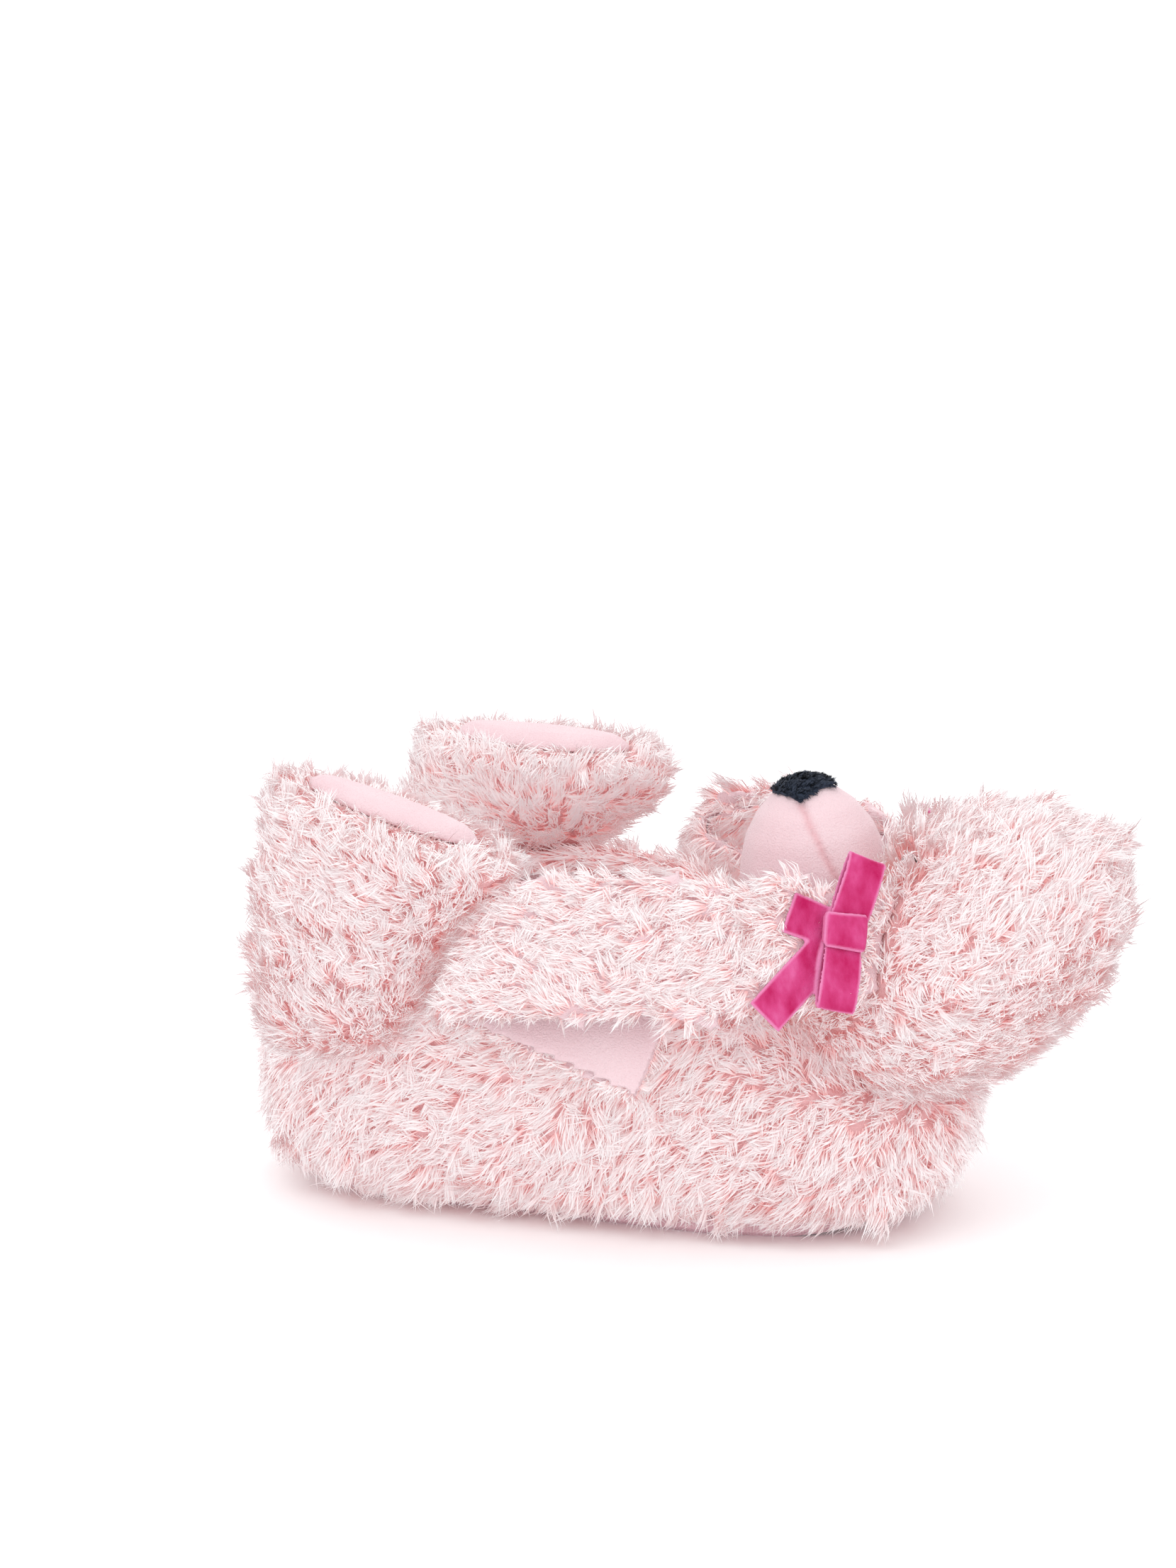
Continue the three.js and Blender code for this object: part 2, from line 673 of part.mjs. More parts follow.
// Locks in staggered rows on a form, from one turn to another. A lock that would meet a neighbour or the
// floor is left out
function locksOn({ form }, { from, to, rows, turns, columns }, napOf, blocked) {
  const made = [];
  for (let row = 0; row < rows; row += 1) {
    for (let column = 0; column < columns; column += 1) {
      const seed = rows * 17 + row * 31.7 + column * 7.3;
      const place = from + ((to - from) * (row + 0.5 + strewn.row * scatter(seed))) / rows;
      const share = (column + (row % 2) / 2 + 0.25 + strewn.column * scatter(seed + 1)) / columns;
      const turn = turns[0] + (turns[1] - turns[0]) * share;
      const root = form(place, turn, 0);
      const ahead = form(place + probe, turn, 0).sub(form(place - probe, turn, 0)).normalize();
      const round = form(place, turn + probe, 0).sub(form(place, turn - probe, 0)).normalize();
      const normal = new THREE.Vector3().crossVectors(ahead, round).normalize();
      if (normal.dot(form(place, turn, 1).sub(root)) < 0) normal.negate();
      const nap = napOf(root, ahead).addScaledVector(round, strewn.lean * scatter(seed + 2));
      nap.addScaledVector(normal, -nap.dot(normal)).normalize();
      const solid = lock(root, normal, nap, 1 + strewn.size * scatter(seed + 3));
      if (solid.boundingBox().min[2] < bootieLift) continue;
      if (solid.intersect(blocked).isEmpty()) made.push(solid);
    }
  }
  return union(made);
}

// Materials
function finish(color, roughness) {
  return new THREE.MeshStandardMaterial({ color, roughness, metalness: 0 });
}
const shagPlush = finish(0xf6d3d6, 0.95);
const shortPlush = finish(0xf2c6cc, 0.9);
const blackPlush = finish(0x161c28, 0.85);
const velvet = finish(0xd3256f, 0.7);
const beadBlack = finish(0x0c0c10, 0.2);
const soleCloth = finish(0xeccbd6, 0.85);
const foamCloth = finish(0xefdfe2, 0.9);

// Assembly
const group = new THREE.Group();

function add(name, solid, material) {
  const mesh = new THREE.Mesh(geometryOf(solid), material);
  mesh.name = name;
  group.add(mesh);
}

const insoleBottom = soleThickness + clearance;
const insoleTop = insoleBottom + insoleThickness;
const soleSeat = slab(-clearance, -soleChamfer, insoleBottom, 0);
const insoleHole = slab(insoleMargin - clearance, soleThickness / 2, insoleTop + wallThickness / 2, 0);
const collar = collarPlug();

const bootieGrown = solidOfForm(bootie, clearance);
const headGrown = solidOfForm(head, clearance);
const muzzleGrown = solidOfForm(muzzle, clearance);
const sides = Object.keys(ears).map((side) => {
  const ear = ears[side];
  const leg = legs[side];
  const shag = shagOf(ear);
  const lining = liningOf(ear);
  return {
    side,
    ear,
    leg,
    shag,
    lining,
    limb: legOf(leg),
    earGrown: union(solidOfForm(shag, clearance), solidOfForm(lining, clearance)),
    legGrown: solidOfForm(legOf(leg), clearance),
    bowGrown: union(bowSolid(ear, clearance), knotBlock(ear, clearance)),
    bowSpace: union(bowSolid(ear, lockRoot), knotBlock(ear, lockRoot)),
  };
});
const soft = sides.flatMap(({ earGrown, legGrown, bowGrown }) => [earGrown, legGrown, bowGrown]);

const bootieNap = () => new THREE.Vector3(-0.8, 0, -0.6);
const bootieRows = { from: 0.02, to: 0.99, rows: 9, turns: [0, 1], columns: 12 };
const bootieBlocks = union(headGrown, muzzleGrown, collar, soleSeat, soft);
const bootieLocks = locksOn(bootie, bootieRows, bootieNap, bootieBlocks);
const shell = union(solidOfForm(bootie), bootieLocks);
const hollow = solidOfForm({ ...bootie, around: 18 }, -wallThickness);
add('upper', cutBy(shell, hollow, collar, soleSeat, insoleHole), shagPlush);
add('outsole', slab(0, 0, soleThickness, soleChamfer), soleCloth);
add('insole', slab(insoleMargin, insoleBottom, insoleTop, soleChamfer / 2), foamCloth);

const eyes = sides.map(({ leg }) => eyeBead(leg.side, headGrown));
const headRows = { from: 0.15, to: 0.98, rows: 6, turns: [0, 1], columns: 8 };
const bowSpaces = sides.map(({ bowSpace }) => bowSpace);
const headBlocks = union(bootieGrown, bootieLocks, muzzleGrown, eyes, soft, bowSpaces);
const headLocks = locksOn(head, headRows, () => headAxis.clone(), headBlocks);
const bows = sides.map(({ bowGrown }) => bowGrown);
add('head', union(cutBy(solidOfForm(head), bootieGrown, ...bows), headLocks), shagPlush);
add('muzzle', cutBy(solidOfForm(muzzle), headGrown, bootieGrown), shortPlush);
add('nose', nosePatch(), blackPlush);

sides.forEach(({ side, ear, leg, shag, lining, limb, earGrown, legGrown, bowGrown }, i) => {
  add(`eye_${side}`, eyes[i], beadBlack);

  const earBlocks = union(bootieGrown, bootieLocks, headGrown, headLocks, bowGrown, legGrown, muzzleGrown);
  const earRows = { from: 0.12, to: 0.62, rows: 5, turns: [0.03, 0.47], columns: 3 };
  const liningGrown = solidOfForm(lining, clearance);
  const earLocks = locksOn(shag, earRows, (_, ahead) => ahead, earBlocks).subtract(liningGrown);
  const earSkin = cutBy(solidOfForm(shag), headGrown, bootieGrown, bowGrown);
  add(`ear_${side}`, union(earSkin, earLocks), shagPlush);
  add(`ear_lining_${side}`, cutBy(solidOfForm(lining), headGrown, bootieGrown), shortPlush);
  add(`bow_${side}`, bowSolid(ear), velvet);
  add(`knot_${side}`, knotBlock(ear).subtract(bowSolid(ear, clearance)), velvet);

  const pad = footPad(leg);
  const limbRows = { from: 0.1, to: 0.95, rows: 3, turns: leg.turns, columns: 5 };
  const limbBlocks = union(bootieGrown, bootieLocks, earGrown, earLocks, pad);
  const limbLocks = locksOn(limb, limbRows, () => new THREE.Vector3(0.3, 0, 1), limbBlocks);
  add(`leg_${side}`, union(cutBy(solidOfForm(limb), bootieGrown, earGrown), limbLocks), shagPlush);
  add(`foot_pad_${side}`, pad, shortPlush);
});

export default group;
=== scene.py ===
# %% [markdown]
# # A plush animal slipper
# A long-eared plush animal lies on its back on a padded bootie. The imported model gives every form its
# place and size. This file dresses it: soft skins, long pile, short plush, velvet ribbon, floor, light
# and camera. Lengths are in metres.

# %% Load the frame
import math

import bmesh
import bpy
import numpy as np
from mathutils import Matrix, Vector
from mathutils.bvhtree import BVHTree
from mathutils.kdtree import KDTree


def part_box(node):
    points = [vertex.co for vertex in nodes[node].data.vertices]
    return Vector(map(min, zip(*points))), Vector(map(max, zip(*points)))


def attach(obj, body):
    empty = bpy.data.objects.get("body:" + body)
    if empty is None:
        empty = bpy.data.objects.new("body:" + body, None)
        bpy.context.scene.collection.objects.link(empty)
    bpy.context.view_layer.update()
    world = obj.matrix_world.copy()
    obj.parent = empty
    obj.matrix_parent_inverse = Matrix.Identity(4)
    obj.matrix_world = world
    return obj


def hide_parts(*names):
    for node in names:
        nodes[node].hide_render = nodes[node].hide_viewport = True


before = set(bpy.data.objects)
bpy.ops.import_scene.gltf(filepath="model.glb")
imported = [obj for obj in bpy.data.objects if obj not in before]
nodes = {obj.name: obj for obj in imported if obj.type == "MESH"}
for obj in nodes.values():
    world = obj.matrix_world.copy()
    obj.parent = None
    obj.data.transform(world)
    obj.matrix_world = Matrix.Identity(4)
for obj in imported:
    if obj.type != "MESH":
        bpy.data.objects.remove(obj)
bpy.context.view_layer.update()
MM = 0.001
SIDES = ("right", "left")
print("nodes:", len(nodes))

# %% [markdown]
# ## Shader maths
# A finish is a small graph of nodes. Wrapping a socket in a class lets a mask be written as an
# expression, such as `1 - mask * 0.4`, and each operator then adds its Math node.

# %% A socket that can be used in an expression


class Value:
    """One output socket of a finish, with its arithmetic."""

    def __init__(self, finish, socket):
        self.finish = finish
        self.socket = socket

    def _math(self, operation, first, second=0.0):
        return self.finish.node("ShaderNodeMath", {"operation": operation}, {0: first, 1: second})

    def __add__(self, other):
        return self._math("ADD", self, other)

    __radd__ = __add__

    def __sub__(self, other):
        return self._math("SUBTRACT", self, other)

    def __rsub__(self, other):
        return self._math("SUBTRACT", other, self)

    def __mul__(self, other):
        return self._math("MULTIPLY", self, other)

    __rmul__ = __mul__


# %% A finish and its nodes


class Finish:
    """A material whose nodes come from node(), and whose constants are set on the shader itself."""

    def __init__(self, name, **constants):
        self.material = bpy.data.materials.new(name)
        self.material.use_nodes = True
        self.tree = self.material.node_tree
        self.shader = self.tree.nodes["Principled BSDF"]
        for socket, value in constants.items():
            self.shader.inputs[socket.replace("_", " ")].default_value = value

    def node(self, kind, settings=None, values=None, output=0):
        made = self.tree.nodes.new(kind)
        for key, value in (settings or {}).items():
            if key == "stops":
                while len(made.color_ramp.elements) < len(value):
                    made.color_ramp.elements.new(0.5)
                for element, (place, colour) in zip(made.color_ramp.elements, value):
                    element.position = place
                    element.color = (*colour, 1.0)
            else:
                setattr(made, key, value)
        for key, value in (values or {}).items():
            if isinstance(value, Value):
                self.tree.links.new(value.socket, made.inputs[key])
            else:
                made.inputs[key].default_value = value
        return Value(self, made.outputs[output])

    def place(self):
        """The point in the row frame."""
        return self.node("ShaderNodeTexCoord", output="Object")

    def noise(self, scale, detail=2.0, stretch=(1, 1, 1), output="Fac"):
        spot = self.node("ShaderNodeMapping", {}, {"Vector": self.place(), "Scale": stretch})
        return self.node("ShaderNodeTexNoise", {}, {"Vector": spot, "Scale": scale, "Detail": detail}, output)

    def attribute(self, name):
        return self.node("ShaderNodeAttribute", {"attribute_name": name}, output="Fac")

    def ramp(self, factor, stops):
        return self.node("ShaderNodeValToRGB", {"stops": stops}, {"Fac": factor}, "Color")

    def mix(self, factor, first, second):
        colours = {6: (*first, 1.0) if isinstance(first, tuple) else first,
                   7: (*second, 1.0) if isinstance(second, tuple) else second}
        return self.node("ShaderNodeMix", {"data_type": "RGBA"}, {0: factor, **colours}, 2)

    def colour(self, value):
        self.tree.links.new(value.socket, self.shader.inputs["Base Color"])

    def roughness(self, value):
        self.tree.links.new(value.socket, self.shader.inputs["Roughness"])

    def glow(self, value, strength):
        self.tree.links.new(value.socket, self.shader.inputs["Emission Color"])
        self.shader.inputs["Emission Strength"].default_value = strength

    def bump(self, height, distance, strength=1.0):
        bumped = self.node("ShaderNodeBump", {},
                           {"Height": height, "Distance": distance, "Strength": strength})
        self.tree.links.new(bumped.socket, self.shader.inputs["Normal"])


# %% [markdown]
# ## Colours
# The pile is a pale pink whose tips are almost white. Between the tufts one looks down to the backing,
# where light has passed several hairs, so the roots are given a warm salmon pink, which is painted shade.

# %% Name the colours of the cloths
TIP_PINK = (0.72, 0.75, 0.755)
MIDDLE_PINK = (0.72, 0.69, 0.70)
ROOT_PAINTED_SHADE = (0.76, 0.40, 0.39)
BACKING_PINK = (0.80, 0.50, 0.51)
GLOW_ROOT = (0.92, 0.29, 0.27)
GLOW_TIP = (0.56, 0.42, 0.43)
GLOW = 0.35
BACKING_SHADE = (0.78, 0.44, 0.45)
VELOUR_FIBRE_AND_SEAM_SHADE = (0.72, 0.40, 0.43)
FLEECE_DEEP = (0.74, 0.52, 0.56)
FLEECE_LIGHT = (0.88, 0.76, 0.78)
SOLE_LIGHT = (0.84, 0.64, 0.68)
SOLE_DARK = (0.74, 0.50, 0.56)
FOOTBED_LIGHT = (0.86, 0.74, 0.76)
FOOTBED_DARK = (0.74, 0.56, 0.60)
VELOUR_PINK = (0.75, 0.55, 0.59)
VELOUR_LIGHT = (0.80, 0.67, 0.70)
RIBBON_DEEP = (0.43, 0.003, 0.085)
RIBBON_BRIGHT = (0.55, 0.04, 0.18)
RIBBON_SHEEN_HIGHLIGHT = (0.64, 0.10, 0.29)
RIBBON_EDGE = (0.70, 0.21, 0.41)
NOSE_DARK = (0.010, 0.014, 0.028)
NOSE_BLUE = (0.035, 0.050, 0.085)

# %% Pile, backing, velour, ribbon, nose and sole finishes


def pile_finish():
    """Hairs: salmon at the root, which is painted shade between the tufts, pink in the middle and nearly
    white at the tip. Real hairs pass the light on from one to the next, more often than a render follows it.
    An emission stands for that, as painted light. It gives a fifth of a lit tip's red and two fifths in the
    crevices, so in a dark scene it would have to be set to 0."""
    finish = Finish("long_pile", Sheen_Weight=0.2, Sheen_Roughness=0.5, Specular_IOR_Level=0.2)
    reach = finish.attribute("reach")
    shade = finish.attribute("shade")
    # The salmon root stop of this ramp is painted shade between the tufts.
    along = finish.ramp(reach, [(0.0, ROOT_PAINTED_SHADE), (0.35, MIDDLE_PINK), (0.85, TIP_PINK)])
    finish.colour(finish.mix(shade * 0.5, along, MIDDLE_PINK))
    finish.roughness(shade * 0.25 + 0.6)
    finish.glow(finish.ramp(reach, [(0.0, GLOW_ROOT), (0.8, GLOW_TIP)]), GLOW)
    return finish.material


def backing_finish():
    """The knitted backing that the pile grows from, seen only in the crevices."""
    finish = Finish("pile_backing", Roughness=0.95, Specular_IOR_Level=0.1)
    patches = finish.noise(60.0, 4.0)
    finish.colour(finish.mix(patches, BACKING_PINK, BACKING_SHADE))
    finish.bump(finish.noise(900.0, 3.0), 0.0012, 0.6)
    return finish.material


def velour_finish():
    """Short plush: a matt pink whose pile lies in faint patches, with painted shade along the seams."""
    finish = Finish("short_plush", Sheen_Weight=0.35, Sheen_Roughness=0.45, Specular_IOR_Level=0.15)
    patches = finish.noise(35.0, 5.0)
    hairs = finish.noise(1400.0, 2.0)
    cloth = finish.mix(patches, VELOUR_PINK, VELOUR_LIGHT)
    # Painted shade: the cloth is darker along the troughs of the seams, and fibre noise darkens it at random.
    shadow = finish.attribute("seam")
    finish.colour(finish.mix(hairs * 0.35 + shadow * 0.6, cloth, VELOUR_FIBRE_AND_SEAM_SHADE))
    finish.roughness(1 - patches * 0.3)
    finish.bump(hairs + patches * 0.6, 0.0006, 0.8)
    return finish.material


def fleece_finish():
    """The brushed lining inside the bootie: paler and curlier than the short plush."""
    finish = Finish("fleece_lining", Roughness=0.95, Sheen_Weight=0.3, Specular_IOR_Level=0.1)
    curls = finish.noise(420.0, 4.0)
    finish.colour(finish.mix(curls, FLEECE_DEEP, FLEECE_LIGHT))
    finish.bump(curls, 0.0018, 0.9)
    return finish.material


def ribbon_finish():
    """Velvet: deep where the pile faces away, brighter in patches where it has been stroked. The patches
    follow the lie of the pile, and their deep and pale colours are painted sheen.
    """
    finish = Finish("magenta_velvet", Sheen_Weight=0.4, Sheen_Roughness=0.4, Specular_IOR_Level=0.25)
    finish.shader.inputs["Sheen Tint"].default_value = (1.0, 0.45, 0.7, 1.0)
    strokes_and_sheen = finish.noise(110.0, 4.0, (1, 1, 0.45))
    hairs = finish.noise(1600.0, 2.0)
    # Painted sheen: the stroked patches run from deep to a pale highlight in the colour.
    velvet = finish.ramp(strokes_and_sheen, [(0.36, RIBBON_DEEP), (0.55, RIBBON_BRIGHT), (0.72, RIBBON_SHEEN_HIGHLIGHT)])
    finish.colour(finish.mix(finish.attribute("selvedge"), velvet, RIBBON_EDGE))
    finish.roughness(0.95 - strokes_and_sheen * 0.4)
    finish.bump(hairs, 0.0004, 0.7)
    return finish.material


def nose_finish():
    """Blue-black plush hairs."""
    finish = Finish("black_plush", Roughness=0.7, Sheen_Weight=0.1, Specular_IOR_Level=0.2)
    finish.colour(finish.mix(finish.noise(500.0, 3.0), NOSE_DARK, NOSE_BLUE))
    finish.bump(finish.noise(1500.0, 2.0), 0.0005, 0.7)
    return finish.material


def bead_finish():
    """A glossy black bead."""
    finish = Finish("black_bead", Coat_Weight=0.5)
    smears = finish.noise(80.0)
    finish.colour(finish.mix(smears, (0.008, 0.008, 0.01), (0.02, 0.016, 0.016)))
    finish.roughness(smears * 0.12 + 0.06)
    return finish.material


def weave_finish(name, light, dark, threads):
    """Plain woven cloth, whose threads cross at right angles."""
    finish = Finish(name, Specular_IOR_Level=0.2)
    spot = finish.place()
    waves = [finish.node("ShaderNodeTexWave", {"wave_type": "BANDS", "bands_direction": axis},
                         {"Vector": spot, "Scale": threads}, "Fac") for axis in ("X", "Y")]
    crossing = waves[0] * waves[1]
    finish.colour(finish.mix(crossing, dark, light))
    finish.roughness(0.95 - crossing * 0.2)
    finish.bump(crossing, 0.0003, 0.8)
    return finish.material


PILE = pile_finish()
BACKING = backing_finish()
VELOUR = velour_finish()
FLEECE = fleece_finish()
RIBBON = ribbon_finish()
NOSE = nose_finish()
BEAD = bead_finish()
SOLE_CLOTH = weave_finish("sole_cloth", SOLE_LIGHT, SOLE_DARK, 260.0)
FOOTBED = weave_finish("footbed_cloth", FOOTBED_LIGHT, FOOTBED_DARK, 320.0)
print("finishes:", [material.name for material in bpy.data.materials])

# %% Read a mesh as arrays


def arrays_of(mesh):
    mesh.calc_loop_triangles()
    points = np.empty(len(mesh.vertices) * 3)
    mesh.vertices.foreach_get("co", points)
    normals = np.empty(len(mesh.vertices) * 3)
    mesh.vertices.foreach_get("normal", normals)
    corners = np.empty(len(mesh.loop_triangles) * 3, dtype=np.int32)
    mesh.loop_triangles.foreach_get("vertices", corners)
    return points.reshape(-1, 3), normals.reshape(-1, 3), corners.reshape(-1, 3)


def tree_of(mesh):
    points, _, corners = arrays_of(mesh)
    return BVHTree.FromPolygons(points.tolist(), corners.tolist())


def unit(vectors):
    return vectors / np.maximum(np.linalg.norm(vectors, axis=1, keepdims=True), 1e-9)


def along_skin(vectors, normals):
    """The part of each vector that lies in the skin."""
    return unit(vectors - normals * np.sum(vectors * normals, axis=1, keepdims=True))


# %% [markdown]
# ## Skins
# The solids of the model carry coarse locks, which give the pile its tufts. A voxel remesh makes one
# even net over each, and smoothing melts the locks to the soft lumps of a stuffed bag. The pile is then
# rooted in that skin.

# %% Make a soft skin from a solid


def new_piece(name, mesh, material):
    piece = bpy.data.objects.new(name, mesh)
    bpy.context.scene.collection.objects.link(piece)
    mesh.materials.clear()
    mesh.materials.append(material)
    mesh.polygons.foreach_set("use_smooth", np.ones(len(mesh.polygons), dtype=bool))
    return piece


def applied(piece):
    """The piece with its modifiers made real."""
    evaluated = piece.evaluated_get(bpy.context.evaluated_depsgraph_get())
    mesh = bpy.data.meshes.new_from_object(evaluated)
    piece.modifiers.clear()
    piece.data = mesh
    mesh.polygons.foreach_set("use_smooth", np.ones(len(mesh.polygons), dtype=bool))
    return piece


def soft_skin(name, node, material, voxel, rounds, share=1.0):
    """An even, smoothed copy of a node, thinned to a share of its triangles."""
    piece = new_piece(name, nodes[node].data.copy(), material)
    remesh = piece.modifiers.new("even_net", "REMESH")
    remesh.mode = "VOXEL"
    remesh.voxel_size = voxel
    smooth = piece.modifiers.new("melt", "SMOOTH")
    smooth.factor = 0.5
    smooth.iterations = rounds
    if share < 1:
        piece.modifiers.new("thin_out", "DECIMATE").ratio = share
    applied(piece)
    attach(piece, "root")
    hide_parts(node)
    print(name, "faces:", len(piece.data.polygons))
    return piece


skins = {
    "upper": soft_skin("upper_skin", "upper", BACKING, 4 * MM, 6),
    "head": soft_skin("head_skin", "head", BACKING, 3.5 * MM, 8),
    "muzzle": soft_skin("muzzle_skin", "muzzle", VELOUR, 1.3 * MM, 14, 0.6),
    "nose": soft_skin("nose_patch", "nose", NOSE, 0.55 * MM, 3, 0.4),
}
for side in SIDES:
    skins[f"leg_{side}"] = soft_skin(f"leg_skin_{side}", f"leg_{side}", BACKING, 3 * MM, 6)
    skins[f"ear_{side}"] = soft_skin(f"ear_skin_{side}", f"ear_{side}", VELOUR, 1.8 * MM, 8,
                                     0.5)
    skins[f"lining_{side}"] = soft_skin(f"ear_velour_{side}", f"ear_lining_{side}", VELOUR, 1.2 * MM, 8,
                                        0.4)
    skins[f"pad_{side}"] = soft_skin(f"paw_velour_{side}", f"foot_pad_{side}", VELOUR, 1.2 * MM, 4)

# %% Puff up the foot pads
PUFF = 4.5 * MM
PUFF_REACH = 13 * MM


def puff_up(piece):
    """Raises the top of a pad the more, the further it is from its rim."""
    mesh = piece.data
    points, normals, _ = arrays_of(mesh)
    rim = points[normals[:, 2] < 0.5]
    finder = KDTree(len(rim))
    for i, spot in enumerate(rim):
        finder.insert(Vector(spot), i)
    finder.balance()
    for i in np.nonzero(normals[:, 2] >= 0.5)[0]:
        inward = min(1.0, finder.find(Vector(points[i]))[2] / PUFF_REACH)
        points[i, 2] += PUFF * math.sin(inward * math.pi / 2)
    mesh.vertices.foreach_set("co", points.reshape(-1).astype(np.float32))
    mesh.update()
    print(piece.name, "puffed points:", int((normals[:, 2] >= 0.5).sum()))


for side in SIDES:
    puff_up(skins[f"pad_{side}"])

# %% Sew the muzzle
# Two seams run down from the corners of the nose. Each is a soft trough whose stitches pull at the cloth, and
# the trough is kept as a mask for painted shade.
SEAM_ROUTE = [(75, 15, 171), (78, 18, 167.5), (80, 20.6, 164), (83, 23, 160), (86.5, 25, 154), (91, 26, 147),
              (96, 25, 138), (100, 22, 128), (102, 19, 118)]


def finer(route, step=0.5):
    """The route in metres, with points half a millimetre apart."""
    route = np.array(route, dtype=float)
    lengths = np.concatenate([[0], np.cumsum(np.linalg.norm(np.diff(route, axis=0), axis=1))])
    places = np.arange(0, lengths[-1], step)
    return np.stack([np.interp(places, lengths, route[:, i]) for i in range(3)], axis=1) * MM


def sew(piece, routes, width, depth, stitch):
    mesh = piece.data
    points, normals, _ = arrays_of(mesh)
    marks = np.zeros(len(points))
    pull = np.zeros(len(points))
    for route in routes:
        line = finer(route)
        finder = KDTree(len(line))
        for i, spot in enumerate(line):
            finder.insert(Vector(spot), i)
        finder.balance()
        for i, point in enumerate(points):
            _, place, distance = finder.find(Vector(point))
            if distance < 4 * width:
                trough = math.exp(-(distance / width) ** 2)
                tug = 1 + 0.35 * math.sin(2 * math.pi * place * 0.5 * MM / stitch)
                marks[i] = max(marks[i], trough)
                pull[i] = max(pull[i], trough * tug)
    points -= normals * (depth * pull)[:, None]
    mesh.vertices.foreach_set("co", points.reshape(-1).astype(np.float32))
    # The trough mask is stored for the painted shade in the short plush colour.
    mesh.attributes.new("seam", "FLOAT", "POINT").data.foreach_set("value", marks.astype(np.float32))
    mesh.update()
    print(piece.name, "sewn points:", int((marks > 0.1).sum()))


sew(skins["muzzle"], [SEAM_ROUTE, [(x, -y, z) for x, y, z in SEAM_ROUTE]], 1.5 * MM, 1.1 * MM, 3 * MM)

# %% [markdown]
# ## Pile
# Each hair is a thin leaf with a square foot, a bend in the middle and a pointed end, three triangles in
# all. Hairs stand in tufts: they share a tip that lies along the nap, and the nap turns slowly over the
# form, so the tufts part and show the roots, whose darker salmon is painted shade. All hairs of a form are
# one mesh.

# %% Scatter roots over a skin, and comb hairs from them
HAIR_TRIANGLES = 3
FLOOR_GAP = 0.4 * MM
SKIN_SHARE = 0.75  # how far a hair is shaded like the skin below it
ROOT_GAP = 0.3 * MM  # nearer to a neighbour than this, no hair is rooted
ROOT_DEPTH = 0.6 * MM  # how far a hair starts below the skin
SHORTEST = 1.2 * MM
RIBBON_NEAR = 16 * MM  # how far above the skin a ribbon is looked for


def area_of(skin):
    points, _, corners = arrays_of(skin.data)
    a, b, c = (points[corners[:, i]] for i in range(3))
    return np.linalg.norm(np.cross(b - a, c - a), axis=1).sum() / 2


def roots_on(skin, count, rng):
    points, normals, corners = arrays_of(skin.data)
    a, b, c = (points[corners[:, i]] for i in range(3))
    areas = np.linalg.norm(np.cross(b - a, c - a), axis=1)
    picked = np.searchsorted(np.cumsum(areas) / areas.sum(), rng.random(count))
    u, v = rng.random(count), rng.random(count)
    outside = u + v > 1
    u[outside], v[outside] = 1 - u[outside], 1 - v[outside]
    weights = np.stack([1 - u - v, u, v], axis=1)[:, :, None]
    spots = np.sum(points[corners[picked]] * weights, axis=1)
    return spots, unit(np.sum(normals[corners[picked]] * weights, axis=1))


def swirl(points, amount, scale):
    """A slow wave over the form, by which the nap turns."""
    x, y, z = (points / scale).T
    return amount * (np.sin(x + 1.3 * np.sin(z * 0.8)) * 0.6 + np.sin(1.7 * z + y) * 0.4)


def sunk(points, tree, margin, reach):
    """Which points lie inside a neighbour or closer to it than the margin."""
    found = np.zeros(len(points), dtype=bool)
    for i, point in enumerate(points):
        spot, normal, _, distance = tree.find_nearest(Vector(point), reach)
        if spot is not None:
            found[i] = (Vector(point) - spot).dot(normal) < 0 or distance < margin
    return found


def free_share(starts, ends, tree):
    """How much of each line is left before it meets a neighbour."""
    share = np.ones(len(starts))
    for i, (start, way) in enumerate(zip(starts, ends - starts)):
        length = float(np.linalg.norm(way))
        distance = tree.ray_cast(Vector(start), Vector(way), length)[3]
        if distance is not None:
            share[i] = max(0.0, distance - 0.5 * MM) / length
    return share


def over(points, normals, tree):
    """Which points have the ribbon between them and the skin."""
    return np.array([tree.ray_cast(Vector(point), Vector(-normal), RIBBON_NEAR)[0] is not None
                     for point, normal in zip(points, normals)], dtype=bool)


